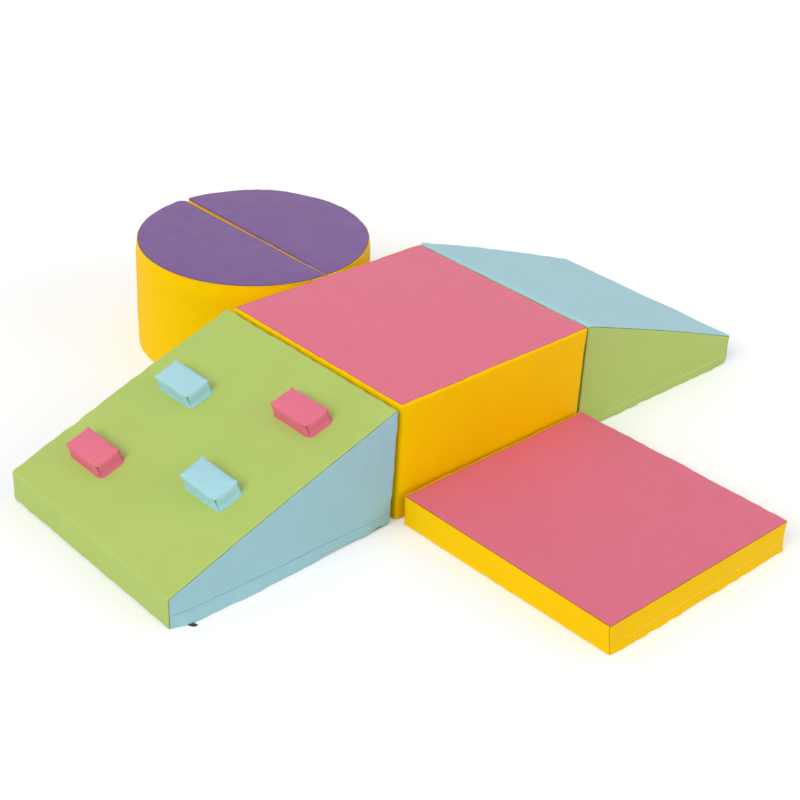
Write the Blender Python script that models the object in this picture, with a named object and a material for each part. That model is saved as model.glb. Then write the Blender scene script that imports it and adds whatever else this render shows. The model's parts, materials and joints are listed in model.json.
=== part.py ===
"""Soft play foam climber, with six loose modules that stand together on the floor.

A square block has a climbing ramp on one side, a slide on the other and a landing mat in front. Behind it stands a
drum that is split into two half-rounds. Each module is a foam core in a sewn cover of separate panels. The cover
closes with a zip that lies in a rebate of the foam, behind a flap along the floor. Four soft holds are sewn on the
ramp.

Metres, +Z up. The origin is the middle of the block's underside, on the floor. +X points from the ramp to the
slide, and -Y to the landing mat.
"""
import math

import bmesh
import bpy
from mathutils import Matrix, Vector

# Sewn cover
cover_thickness = 0.0012
seat_gap = 0.0003
edge_radius = 0.0045

# Block
block_length = 0.606
block_width = 0.606
block_height = 0.304
block_corner_radius = 0.0065
block_side_bulge = 0.0020

# Climbing ramp
ramp_length = 0.627
ramp_width = 0.614
ramp_low_height = 0.0785
ramp_toe_radius = 0.010
ramp_heel_setback = 0.009
ramp_gap = 0.0118
ramp_shift = 0.0027
ramp_turn = math.radians(0.4)

# Slide
slide_length = 0.593
slide_width = 0.597
slide_low_height = 0.085
slide_toe_radius = 0.018
slide_heel_setback = 0.0015
slide_gap = 0.012
slide_shift = 0.0068

# Rounding and fullness that both wedges share
wedge_crest_radius = 0.007
wedge_crease_radius = 0.020
wedge_heel_radius = 0.012
wedge_slope_bow = 0.004
wedge_slope_bulge = 0.002
wedge_back_bulge = 0.002
wedge_side_crown = 0.003

# Landing mat
mat_length = 0.605
mat_width = 0.600
mat_height = 0.080
mat_gap = 0.014
mat_turn = math.radians(0.9)
mat_corner_radius = 0.0065
mat_side_bulge = 0.0015

# Half-rounds
drum_radius = 0.306
drum_height = 0.299
drum_gap = 0.008
half_corner_radius = 0.007
half_blunt_radius = 0.022
half_side_bulge = 0.002
half_gap = 0.0032
half_shift = -0.001
half_turn = math.radians(1.1)

# Fullness of the flat tops
top_crown = 0.004
mat_crown = 0.003

# Zip, in its rebate behind the flap
stitch_height = 0.025
zip_end_inset = 0.022
flap_bottom = 0.0065
rebate_depth = 0.012
rebate_rise = 0.006
tape_depth = 0.0095
tape_thickness = 0.0007
tape_foot = 0.0015
coil_height = 0.0050
coil_thickness = 0.0026
coil_level = 0.0130
coil_sink = 0.0002

# Zip slider and its pull tab
slider_length = 0.014
slider_wall = 0.0012
slider_flare = 0.0010
bail_width = 0.0018
bail_height = 0.0074
bail_reach = 0.0034
bail_thickness = 0.0010
bail_sink = 0.0004
pull_width = 0.0125
pull_window = 0.0040
pull_thickness = 0.0012
pull_bar = 0.0016
pull_reach = 0.025
pull_corner = 0.003

# Climbing holds
hold_hem_length = 0.1375
hold_hem_width = 0.0755
hold_hem_radius = 0.013
hold_top_length = 0.123
hold_top_width = 0.0645
hold_corner_radius = 0.0065
hold_hem_middle = (0.0018, 0.0028)
hold_top_middle = (0.0007, -0.0005)
hold_height = 0.033
hold_shoulder = 0.005
hold_crown = 0.0025
hold_side_bulge = 0.0015
hold_tuck = 0.0042
hold_ear = 0.0025
hold_column_left = 0.164
hold_column_right = -0.144
hold_first_row = 0.145
hold_stagger = 0.103
hold_pitch = 0.265

# A cutter reaches this far past what it cuts
cutter_overrun = 0.010

# Shares that shape the panels
face_ring_shares = (0.78, 0.42)
wide_band_shares = (-1.0, -0.5, 0.0, 0.5, 1.0)
plain_band_shares = (-1.0, 0.0, 1.0)
wedge_centre_shares = (0.42, 0.36)
tuck_shares = (0.0, 0.45, -1.0, 0.45, 0.0)
slider_nose_share = 0.15
pull_skew_share = 0.545
hold_side_shares = (0.60, 0.66, 0.94)

# Cover cloth and fittings: colour, roughness, metallic
PINK = ("pink_cloth", (0.75, 0.19, 0.28), 0.45, 0.0)
YELLOW = ("yellow_cloth", (0.95, 0.60, 0.01), 0.45, 0.0)
GREEN = ("green_cloth", (0.46, 0.59, 0.16), 0.45, 0.0)
BLUE = ("blue_cloth", (0.36, 0.60, 0.70), 0.45, 0.0)
PURPLE = ("purple_cloth", (0.22, 0.12, 0.33), 0.45, 0.0)
FOAM = ("foam", (0.85, 0.84, 0.78), 0.95, 0.0)
TAPE = ("zip_tape", (0.04, 0.04, 0.045), 0.80, 0.0)
SLIDER = ("zip_slider", (0.05, 0.05, 0.05), 0.40, 0.6)


def clear_scene():
    for old in list(bpy.data.objects):
        bpy.data.objects.remove(old, do_unlink=True)


def material(finish):
    """The material of a finish, made once."""
    name, colour, roughness, metallic = finish
    made = bpy.data.materials.get(name)
    if made is None:
        made = bpy.data.materials.new(name)
        made.use_nodes = True
        shader = made.node_tree.nodes["Principled BSDF"]
        shader.inputs["Base Color"].default_value = (*colour, 1.0)
        shader.inputs["Roughness"].default_value = roughness
        shader.inputs["Metallic"].default_value = metallic
    return made


def frame(name, parent=None, location=(0, 0, 0), turn=0.0):
    """An empty that carries pieces and cutters."""
    empty = bpy.data.objects.new(name, None)
    empty.location = location
    empty.rotation_euler = (0, 0, turn)
    empty.parent = parent
    bpy.context.collection.objects.link(empty)
    return empty


def piece(name, shape, finish, parent, location=(0, 0, 0)):
    """An object made from a bmesh, shaded smooth but for its sharp edges."""
    bmesh.ops.recalc_face_normals(shape, faces=shape.faces)
    mesh = bpy.data.meshes.new(name)
    shape.to_mesh(mesh)
    shape.free()
    mesh.shade_smooth()
    mesh.set_sharp_from_angle(angle=math.radians(35))
    made = bpy.data.objects.new(name, mesh)
    made.data.materials.append(material(finish))
    made.parent = parent
    made.location = location
    bpy.context.collection.objects.link(made)
    return made


def cutter(name, low, high, parent):
    """A box between two corners that cuts other pieces and isn't one itself."""
    shape = bmesh.new()
    bmesh.ops.create_cube(shape, size=1.0)
    low, high = Vector(low), Vector(high)
    bmesh.ops.scale(shape, vec=high - low, verts=shape.verts)
    bmesh.ops.translate(shape, vec=(low + high) / 2, verts=shape.verts)
    return hide(piece(name, shape, FOAM, parent))


def hide(tool):
    tool.hide_render = True
    tool.display_type = "WIRE"
    return tool


def combine(target, tool, operation):
    """Cuts, meets or joins a piece with another."""
    change = target.modifiers.new(tool.name, "BOOLEAN")
    change.operation = operation
    change.object = tool


# Outlines and the skin between them

class Spot:
    """One point of an outline, with its outward normal and the bulge of the band there."""

    def __init__(self, point, normal, bulge=0.0):
        self.point = Vector(point)
        self.normal = Vector(normal)
        self.bulge = bulge

    def out(self, distance):
        return self.point + self.normal * distance


class Arc:
    """A round stretch of an outline. A seamed arc has two panels meeting at its middle."""

    def __init__(self, centre, radius, start, end, steps, seamed=False, bulge=0.0, runs_on=False):
        half_seam = 0.5 * seat_gap / (radius - cover_thickness) / (end - start)
        shares = [k / steps for k in range(steps + 1)]
        if seamed:
            shares = [0.0, 0.5 - half_seam, 0.5 + half_seam, 1.0]
        if runs_on:
            shares.pop()
        self.spots = []
        for share in shares:
            angle = start + (end - start) * share
            normal = Vector((math.cos(angle), math.sin(angle)))
            fullness = bulge * math.sin(math.pi * share)
            self.spots.append(Spot(Vector(centre) + normal * radius, normal, fullness))
        self.seam_spot = 2 if seamed else None


def swell(share):
    """How full an edge is at a share of its length: nothing at its ends and 1 at its middle."""
    return 4 * share * (1 - share)


class Outline:
    """A closed convex outline of arcs. An edge follows each arc, given as (steps, bow, bulge).

    The bow curves the edge itself, and the bulge fills the band between its two seams.
    """

    def __init__(self, arcs, edges):
        self.spots = []
        self.seams = []
        self.edge_ends = []
        for arc, (steps, bow, bulge), following in zip(arcs, edges, arcs[1:] + arcs[:1]):
            if arc.seam_spot is not None:
                self.seams.append(len(self.spots) + arc.seam_spot)
            self.spots += arc.spots
            start, end = arc.spots[-1], following.spots[0]
            self.edge_ends.append((start.point, end.point))
            for k in range(1, steps):
                full = swell(k / steps)
                place = start.point.lerp(end.point, k / steps) + start.normal * bow * full
                self.spots.append(Spot(place, start.normal, bulge * full))

    def between(self, seam):
        """The spots from one seam to the next."""
        first = self.seams[seam]
        last = self.seams[(seam + 1) % len(self.seams)] - 1
        count = (last - first) % len(self.spots) + 1
        return [self.spots[(first + k) % len(self.spots)] for k in range(count)]


def polygon_arcs(corners, seamed, steps):
    """Arcs that round the corners of a convex polygon, given anticlockwise as (x, y, radius)."""
    arcs = []
    for k, (x, y, radius) in enumerate(corners):
        before, after = Vector(corners[k - 1][:2]), Vector(corners[(k + 1) % len(corners)][:2])
        corner = Vector((x, y))
        incoming, outgoing = (corner - before).normalized(), (after - corner).normalized()
        first, second = Vector((incoming.y, -incoming.x)), Vector((outgoing.y, -outgoing.x))
        centre = corner - (first + second) / (1 + first.dot(second)) * radius
        start = math.atan2(first.y, first.x)
        turn = math.acos(max(-1.0, min(1.0, first.dot(second))))
        arcs.append(Arc(centre, radius, start, start + turn, steps, seamed[k]))
    return arcs


class Skin:
    """The surface of a module: a band that follows an outline, and a face at each end, rounded into the band.

    A station is one line of points round the module. It takes a spot of the outline and a depth below the skin.
    """

    def __init__(self, outline, centre, low, high, crowns, place):
        self.outline = outline
        self.centre = Vector(centre)
        self.middle = (low + high) / 2
        self.half = (high - low) / 2
        self.flat_half = self.half - edge_radius
        self.crowns = crowns
        self.place = place

    def band(self, share):
        def point(spot, depth):
            return spot.out(spot.bulge * (1 - share**2) - depth), self.middle + share * self.flat_half
        return point

    def edge(self, side, angle):
        def point(spot, depth):
            radius = edge_radius - depth
            along = self.middle + side * (self.flat_half + radius * math.sin(angle))
            return spot.out(radius * math.cos(angle) - edge_radius), along
        return point

    def face(self, side, share):
        def point(spot, depth):
            rim = spot.out(-edge_radius)
            rise = self.crowns[side > 0] * (1 - share**2)
            return self.centre.lerp(rim, share), self.middle + side * (self.half + rise - depth)
        return point

    def face_stations(self, side):
        shares = face_ring_shares if self.crowns[side > 0] else ()
        return [self.face(side, share) for share in (1.0, *shares)]

    def rows(self, stations, spots, depth):
        return [[self.place(*station(spot, depth)) for spot in spots] for station in stations]

    def tip(self, side, depth):
        return self.place(*self.face(side, 0.0)(self.outline.spots[0], depth))


def grid_faces(shape, rows, closed):
    """Vertices for a grid of points, joined by triangles that split every layer of a skin alike."""
    made = [[shape.verts.new(point) for point in row] for row in rows]
    count = len(rows[0])
    for low_row, high_row in zip(made, made[1:]):
        for k in range(count if closed else count - 1):
            after = (k + 1) % count
            shape.faces.new((low_row[k], low_row[after], high_row[after]))
            shape.faces.new((low_row[k], high_row[after], high_row[k]))
    return made


def fan(shape, row, tip):
    """Closes a ring of vertices with a fan round one point."""
    top = shape.verts.new(tip)
    for k, vertex in enumerate(row):
        shape.faces.new((vertex, row[(k + 1) % len(row)], top))


def strip(shape, first, second, closed):
    """Faces between two lines of vertices."""
    for k in range(len(first) if closed else len(first) - 1):
        after = (k + 1) % len(first)
        shape.faces.new((first[k], first[after], second[after], second[k]))


def sheet(outer, inner, closed, tips=None, tip_row=-1):
    """A cloth panel between two grids of points. A closed grid runs round, and tips close its first or last row."""
    shape = bmesh.new()
    front, back = grid_faces(shape, outer, closed), grid_faces(shape, inner, closed)
    for row in (0, -1):
        if tips and row == tip_row:
            fan(shape, front[row], tips[0])
            fan(shape, back[row], tips[1])
        else:
            strip(shape, front[row], back[row], closed)
    if not closed:
        for end in (0, -1):
            strip(shape, [row[end] for row in front], [row[end] for row in back], False)
    return shape


def solid(rows, tips):
    """A closed body through rings of points, with a point at each end."""
    shape = bmesh.new()
    made = grid_faces(shape, rows, True)
    fan(shape, made[0], tips[0])
    fan(shape, made[-1], tips[1])
    return shape


# The seam lies at the middle of the rounding between the band and a face
seam_angle = math.radians(45)
half_seam_angle = 0.5 * seat_gap / (edge_radius - cover_thickness)
core_depth = cover_thickness + seat_gap


def face_panel(name, skin, side, finish, parent):
    stations = [skin.edge(side, seam_angle + half_seam_angle), *skin.face_stations(side)]
    if side < 0:
        stations.reverse()
    outer = skin.rows(stations, skin.outline.spots, 0)
    inner = skin.rows(stations, skin.outline.spots, cover_thickness)
    tips = (skin.tip(side, 0), skin.tip(side, cover_thickness))
    return piece(name, sheet(outer, inner, True, tips, 0 if side < 0 else -1), finish, parent)


def band_panel(name, skin, shares, finish, parent, spots=None):
    """The whole band, or the stretch of it along the given spots."""
    stations = [skin.band(share) for share in shares]
    stations.insert(0, skin.edge(-1, seam_angle - half_seam_angle))
    stations.append(skin.edge(1, seam_angle - half_seam_angle))
    around = spots or skin.outline.spots
    outer = skin.rows(stations, around, 0)
    inner = skin.rows(stations, around, cover_thickness)
    return piece(name, sheet(outer, inner, spots is None), finish, parent)


def foam_core(name, skin, shares, parent):
    stations = [
        *reversed(skin.face_stations(-1)),
        skin.edge(-1, seam_angle),
        *[skin.band(share) for share in shares],
        skin.edge(1, seam_angle),
        *skin.face_stations(1),
    ]
    rows = skin.rows(stations, skin.outline.spots, core_depth)
    return piece(name, solid(rows, (skin.tip(-1, core_depth), skin.tip(1, core_depth))), FOAM, parent)


# Zips. A zip's own frame has X along it, Y into the foam and Z up, from the bottom of the module's face.

tape_front = tape_depth - tape_thickness / 2
coil_front = tape_front - coil_thickness
slider_front = coil_front - seat_gap - slider_wall
rebate_height = stitch_height + rebate_rise


def loft(rows):
    """A closed body through outlines, with flat ends."""
    shape = bmesh.new()
    made = grid_faces(shape, rows, True)
    shape.faces.new(made[0])
    shape.faces.new(made[-1])
    return shape


def extrusion(outline, length):
    """A closed outline in Y and Z, carried along X."""
    return loft([[(x, y, z) for y, z in outline] for x in (-length / 2, length / 2)])


def ribbon(name, rows, skipped, thickness, finish, parent, location):
    """A flat strip through rows of points, with a face left out of its grid where it has a window."""
    shape = bmesh.new()
    rows = [[shape.verts.new(point) for point in row] for row in rows]
    for r, (low_row, high_row) in enumerate(zip(rows, rows[1:])):
        for k in range(len(low_row) - 1):
            if (r, k) != skipped:
                shape.faces.new((low_row[k], low_row[k + 1], high_row[k + 1], high_row[k]))
    made = piece(name, shape, finish, parent, location)
    skin = made.modifiers.new("Thickness", "SOLIDIFY")
    skin.thickness = thickness
    skin.offset = 0
    skin.use_even_offset = True
    return made


def zip_chain(name, site, length):
    """Two tapes that lie behind the cover above and on the base cover below, with the coil between them."""
    behind = core_depth + tape_thickness / 2
    foot = cover_thickness + seat_gap + tape_thickness / 2
    coil_half = coil_height / 2
    path = [
        (behind, rebate_height - seat_gap),
        (behind, stitch_height - tape_thickness),
        (tape_depth, coil_level + coil_height),
        (tape_depth, foot),
        (tape_depth + tape_foot, foot),
    ]
    rows = [[(-length / 2, y, z), (length / 2, y, z)] for y, z in path]
    chain = ribbon(name, rows, None, tape_thickness, TAPE, site, (0, 0, 0))
    outline = [
        (tape_front + coil_sink, -coil_half),
        (coil_front + coil_thickness / 4, -coil_half),
        (coil_front, 0),
        (coil_front + coil_thickness / 4, coil_half),
        (tape_front + coil_sink, coil_half),
    ]
    coil = extrusion(outline, length - 2 * coil_height)
    combine(chain, hide(piece(name + "_coil", coil, TAPE, site, (0, 0, coil_level))), "UNION")


def zip_slider(name, site, place):
    """A clip that runs over the coil, with a bail on its front for the pull."""
    inner, outer = coil_height / 2 + seat_gap, coil_height / 2 + seat_gap + slider_wall
    plate_back, lip_back = slider_front + slider_wall, tape_front - seat_gap

    def section(x, edge):
        return [
            (x, slider_front, -edge), (x, lip_back, -edge), (x, lip_back, -inner), (x, plate_back, -inner),
            (x, plate_back, inner), (x, lip_back, inner), (x, lip_back, edge), (x, slider_front, edge),
        ]

    half = slider_length / 2
    widest = slider_length * slider_nose_share
    shape = loft([section(-half, outer), section(widest, outer + slider_flare), section(half, outer)])
    slider = piece(name, shape, SLIDER, site, place)
    reach, sink = slider_front - bail_reach, slider_front + bail_sink
    high, low = bail_height / 2, bail_height / 2 - bail_thickness
    arch = [
        (sink, -high), (reach, -high), (reach, high), (sink, high),
        (sink, low), (reach + bail_thickness, low), (reach + bail_thickness, -low), (sink, -low),
    ]
    bail = extrusion(arch, bail_width)
    combine(slider, hide(piece(name + "_bail", bail, SLIDER, site, place)), "UNION")


def zip_pull(name, site, place, tucked):
    """A tab that hangs from the bail by its window. It reaches out askew under the flap, unless it is tucked in."""
    eye = slider_front - (bail_reach - bail_thickness) / 2
    foot_clearance = bail_height / 2 + seat_gap + pull_thickness
    floor = pull_thickness / 2 + seat_gap - coil_level
    lip = edge_radius - coil_level
    half = pull_width / 2
    path = [
        (eye, pull_bar / 2, half),
        (eye, -pull_bar / 2, half),
        (eye, -foot_clearance, half),
        (eye, -foot_clearance - pull_bar, half),
    ]
    if not tucked:
        path += [
            (edge_radius / 3, lip - seat_gap, half),
            (-edge_radius / 2, floor + pull_thickness / 2, half),
            (pull_corner - pull_reach, floor, half),
            (-pull_reach, floor, half - pull_corner),
        ]
    rows = []
    for y, z, edge in path:
        drift = -pull_skew_share * min(y, 0)
        rows.append([(x + drift, y, z) for x in (-edge, -pull_window / 2, pull_window / 2, edge)])
    ribbon(name, rows, (1, 1), pull_thickness, SLIDER, site, place)


def add_zip(module, site, face_length, side_panel, core, slider_end, tucked=True):
    """Rebates the core, parts the side panel at the stitch line, and fits the flap, the chain and its slider."""
    prefix = module.name
    half = face_length / 2 - zip_end_inset
    rebate = cutter(prefix + "_rebate", (-half - seat_gap, -cutter_overrun, -cutter_overrun),
                    (half + seat_gap, rebate_depth, rebate_height), site)
    combine(core, rebate, "DIFFERENCE")
    slot = cutter(prefix + "_slot", (-half, -cutter_overrun, -cutter_overrun),
                  (half, rebate_depth, stitch_height), site)
    flap = side_panel.copy()
    flap.name = prefix + "_zip_flap"
    bpy.context.collection.objects.link(flap)
    combine(side_panel, slot, "DIFFERENCE")
    flap_space = cutter(prefix + "_flap_space", (-half + seat_gap, -cutter_overrun, flap_bottom),
                        (half - seat_gap, rebate_depth, stitch_height - seat_gap), site)
    combine(flap, flap_space, "INTERSECT")
    zip_chain(prefix + "_zip_chain", site, 2 * (half - seat_gap))
    rest = slider_end * (half - coil_height - slider_length)
    zip_slider(prefix + "_zip_slider", site, (rest, 0, coil_level))
    zip_pull(prefix + "_zip_pull", site, (rest, 0, coil_level), tucked)


# Modules

def upright(flat, level):
    """Places a block's, mat's or half-round's skin: its outline lies flat and its axis is vertical."""
    return Vector((flat.x, flat.y, level))


def sideways(flat, level):
    """Places a wedge's skin: its outline is the side view and its axis runs across."""
    return Vector((flat.x, level, flat.y))


def box_skin(length, width, height, corner_radius, side_bulge, crown):
    half_x, half_y = length / 2, width / 2
    corners = [
        (-half_x, -half_y, corner_radius),
        (half_x, -half_y, corner_radius),
        (half_x, half_y, corner_radius),
        (-half_x, half_y, corner_radius),
    ]
    arcs = polygon_arcs(corners, [False] * 4, 3)
    return Skin(Outline(arcs, [(3, 0, side_bulge)] * 4), (0, 0), 0, height, (0, crown), upright)


def box_cover(module, skin, top_finish, side_finish):
    """The core and the three cover panels of a block, a mat or a half-round."""
    prefix = module.name
    core = foam_core(prefix + "_core", skin, plain_band_shares, module)
    face_panel(prefix + "_top_cover", skin, 1, top_finish, module)
    side = band_panel(prefix + "_side_cover", skin, plain_band_shares, side_finish, module)
    face_panel(prefix + "_base_cover", skin, -1, top_finish, module)
    return core, side


def block():
    module = frame("block")
    skin = box_skin(block_length, block_width, block_height, block_corner_radius, block_side_bulge, top_crown)
    core, side = box_cover(module, skin, PINK, YELLOW)
    site = frame("block_zip_site", module, (0, block_width / 2, 0), math.pi)
    add_zip(module, site, block_length, side, core, 1)


def mat():
    """The mat turns about the middle of its edge by the block."""
    back = Vector((0, -(block_width / 2 + mat_gap)))
    centre = back + Matrix.Rotation(mat_turn, 2) @ Vector((0, -mat_length / 2))
    module = frame("mat", None, (centre.x, centre.y, 0), mat_turn)
    skin = box_skin(mat_width, mat_length, mat_height, mat_corner_radius, mat_side_bulge, mat_crown)
    core, side = box_cover(module, skin, PINK, YELLOW)
    site = frame("mat_zip_site", module, (0, -mat_length / 2, 0))
    add_zip(module, site, mat_width, side, core, -1)


def half_round(name, location, turn, radii, slider_end):
    """Half a drum, with its cut face at X = 0 and its round side towards +X.

    The radii round the cut face's two ends, at +Y and at -Y.
    """
    far, near = radii
    far_reach, near_reach = (math.sqrt((drum_radius - radius) ** 2 - radius**2) for radius in radii)
    far_turn, near_turn = math.atan2(far_reach, far), math.atan2(near_reach, near)
    arcs = [
        Arc((0, 0), drum_radius, -near_turn, far_turn, 18, bulge=half_side_bulge, runs_on=True),
        Arc((far, far_reach), far, far_turn, math.pi, 3),
        Arc((near, -near_reach), near, math.pi, 2 * math.pi - near_turn, 3, runs_on=True),
    ]
    edges = [(1, 0, 0), (4, 0, half_side_bulge), (1, 0, 0)]
    skin = Skin(Outline(arcs, edges), (drum_radius / 2, 0), 0, drum_height, (0, top_crown), upright)
    module = frame(name, None, location, turn)
    core, side = box_cover(module, skin, PURPLE, YELLOW)
    site = frame(name + "_zip_site", module, (0, 0, 0), -math.pi / 2)
    add_zip(module, site, 2 * min(far_reach, near_reach), side, core, slider_end)


class Wedge:
    """A ramp or slide: high face at X = 0, low end at +X. The high face leans back by the heel's setback."""

    def __init__(self, name, size, toe_radius, heel_setback, location, turn, top_finish, side_finish):
        length, width, low_height = size
        self.crest = Vector((0, block_height))
        corners = [
            (heel_setback, 0, wedge_heel_radius),
            (length, 0, toe_radius),
            (length, low_height, wedge_crease_radius),
            (0, block_height, wedge_crest_radius),
        ]
        arcs = polygon_arcs(corners, [True, True, False, True], 4)
        edges = [(1, 0, 0), (1, 0, 0), (5, wedge_slope_bow, wedge_slope_bulge), (2, 0, wedge_back_bulge)]
        self.outline = Outline(arcs, edges)
        along_share, up_share = wedge_centre_shares
        centre = (length * along_share, block_height * up_share)
        crowns = (wedge_side_crown, wedge_side_crown)
        skin = Skin(self.outline, centre, -width / 2, width / 2, crowns, sideways)
        self.flat_half = skin.flat_half
        self.module = frame(name, None, location, turn)
        self.core = foam_core(name + "_core", skin, wide_band_shares, self.module)
        panels = (("_base_cover", top_finish), ("_top_cover", top_finish), ("_back_cover", side_finish))
        for seam, (suffix, finish) in enumerate(panels):
            spots = self.outline.between(seam)
            band_panel(name + suffix, skin, wide_band_shares, finish, self.module, spots)
        # The near side faces -Y, which is the wedge's own +Y side once it is turned half round
        self.near = 1 if math.cos(turn) < 0 else -1
        self.near_cover = face_panel(name + "_side_cover_near", skin, self.near, side_finish, self.module)
        face_panel(name + "_side_cover_far", skin, -self.near, side_finish, self.module)

    def zip_site(self, length, width):
        """The bottom edge of the near side."""
        turn = math.pi if self.near > 0 else 0
        return frame(self.module.name + "_zip_site", self.module, (length / 2, self.near * width / 2, 0), turn)

    def on_slope(self, along, across, rise):
        """A point above the full, bulged slope, by its distance down from the crest."""
        low, high = self.outline.edge_ends[2]
        upward = (high - low).normalized()
        normal = Vector((-upward.y, upward.x)) * -1
        share = ((self.crest - upward * along) - low).dot(upward) / (high - low).length
        fullness = wedge_slope_bow + wedge_slope_bulge * (1 - (across / self.flat_half) ** 2)
        flat = self.crest - upward * along + normal * (fullness * swell(share) + rise)
        return Vector((flat.x, across, flat.y))


def ring(half_x, half_y, radius, tuck, bulge):
    """Points round a hold: five at each corner, where the cloth is tucked, and one between corners."""
    points = []
    for k, (sign_x, sign_y) in enumerate(((1, 1), (-1, 1), (-1, -1), (1, -1))):
        centre = Vector((sign_x * (half_x - radius), sign_y * (half_y - radius)))
        for step, share in enumerate(tuck_shares):
            angle = math.pi / 2 * (k + step / (len(tuck_shares) - 1))
            normal = Vector((math.cos(angle), math.sin(angle)))
            points.append(centre + normal * (radius + tuck * share))
        if k % 2:
            points.append(Vector((sign_x * (half_x + bulge), 0)))
        else:
            points.append(Vector((0, sign_y * (half_y + bulge))))
    return points


def hold_levels(depth):
    """Rings at a depth below a hold's cover, from its root up.

    Each is (share of the way from the hem to the top's edge, inset past it, height, corner radius, tuck, bulge). The
    sides lean in from the root, most of all at the near end. The corners are tucked, and end in small ears at the top.
    """
    top, corner = hold_height - depth, hold_corner_radius - depth
    root, low_side, high_side = hold_side_shares
    return [
        (root, depth, 0, corner, hold_tuck / 3, 0),
        (low_side, depth, hold_shoulder, corner, hold_tuck, 0),
        (high_side, depth, top - hold_shoulder, corner, hold_tuck, hold_side_bulge),
        (1.0, depth + hold_shoulder / 3, top - hold_shoulder / 4, corner, -hold_ear, hold_side_bulge),
        (1.0, depth + hold_shoulder, top, corner, 0, 0),
        (1.0, depth + hold_top_width / 4, top + hold_crown * 3 / 4, corner, 0, 0),
    ]


def hold(wedge, name, along, across, finish):
    """A soft foothold: a hemmed cover with tucked corners over a block of foam, sewn to the slope."""
    hem_half, top_half = (Vector((width / 2, length / 2)) for width, length in (
        (hold_hem_width, hold_hem_length), (hold_top_width, hold_top_length)))
    place = Vector((along, across))
    hem_middle, top_middle = place + Vector(hold_hem_middle), place + Vector(hold_top_middle)

    def row(share, inset, height, radius, tuck, bulge):
        half = hem_half.lerp(top_half, share)
        middle = hem_middle.lerp(top_middle, share)
        flat = ring(half.x - inset, half.y - inset, radius, tuck, bulge)
        return [wedge.on_slope(middle.x + p.x, middle.y + p.y, seat_gap + height) for p in flat]

    def layer(depth):
        return [row(*level) for level in hold_levels(depth)]

    def tip(depth):
        return wedge.on_slope(top_middle.x, top_middle.y, seat_gap + hold_height + hold_crown - depth)

    root = hold_levels(0)[0]
    hem = [row(0, 0, height, hold_hem_radius, 0, 0) for height in (cover_thickness, 0)]
    outer = [hem[0], row(*root[:2], cover_thickness, *root[3:]), *layer(0)[1:]]
    inner = [hem[1], *layer(cover_thickness)]
    cover = sheet(outer, inner, True, (tip(0), tip(cover_thickness)))
    piece(name + "_cover", cover, finish, wedge.module)
    bottom = wedge.on_slope(top_middle.x, top_middle.y, seat_gap)
    foam = solid(layer(core_depth), (bottom, tip(core_depth)))
    piece(name + "_foam", foam, FOAM, wedge.module)


def ramp():
    """The ramp is turned half round, so its own +Y is the near side, and across is counted from there."""
    place = (-(block_length / 2 + ramp_gap), ramp_shift, 0)
    size = (ramp_length, ramp_width, ramp_low_height)
    wedge = Wedge("ramp", size, ramp_toe_radius, ramp_heel_setback, place, math.pi + ramp_turn, GREEN, BLUE)
    site = wedge.zip_site(ramp_length, ramp_width)
    add_zip(wedge.module, site, ramp_length, wedge.near_cover, wedge.core, -1, tucked=False)
    second_row = hold_first_row + hold_pitch
    hold(wedge, "hold_pink_high", hold_first_row, -hold_column_right, PINK)
    hold(wedge, "hold_blue_high", hold_first_row + hold_stagger, -hold_column_left, BLUE)
    hold(wedge, "hold_blue_low", second_row, -hold_column_right, BLUE)
    hold(wedge, "hold_pink_low", second_row + hold_stagger, -hold_column_left, PINK)


def slide():
    place = (block_length / 2 + slide_gap, slide_shift, 0)
    size = (slide_length, slide_width, slide_low_height)
    wedge = Wedge("slide", size, slide_toe_radius, slide_heel_setback, place, 0.0, BLUE, GREEN)
    site = wedge.zip_site(slide_length, slide_width)
    add_zip(wedge.module, site, slide_length, wedge.near_cover, wedge.core, -1)


def half_rounds():
    """The left half is askew, so that the cut opens towards the back, where its corner is blunt."""
    drum_distance = block_width / 2 + drum_gap + drum_radius
    place = (half_shift + half_gap / 2, drum_distance, 0)
    half_round("half_round_right", place, 0.0, (half_corner_radius, half_corner_radius), 1)
    near_end = Vector((half_shift - half_gap / 2, drum_distance - drum_radius))
    centre = near_end + Matrix.Rotation(half_turn, 2) @ Vector((0, drum_radius))
    radii = (half_corner_radius, half_blunt_radius)
    half_round("half_round_left", (centre.x, centre.y, 0), math.pi + half_turn, radii, -1)


clear_scene()
block()
ramp()
slide()
mat()
half_rounds()
bpy.context.view_layer.update()
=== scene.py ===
"""Looks of the soft play foam climber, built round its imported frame.

Fine meshes of sewn cloth and of foam replace the solids of panels, flaps, holds and cores. Sliders, pulls
and zip chains stay, with better materials.
"""
import json
import math

import bmesh
import bpy
import numpy as np
from mathutils import Matrix, Vector
from mathutils.bvhtree import BVHTree
from mathutils.geometry import delaunay_2d_cdt

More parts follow.
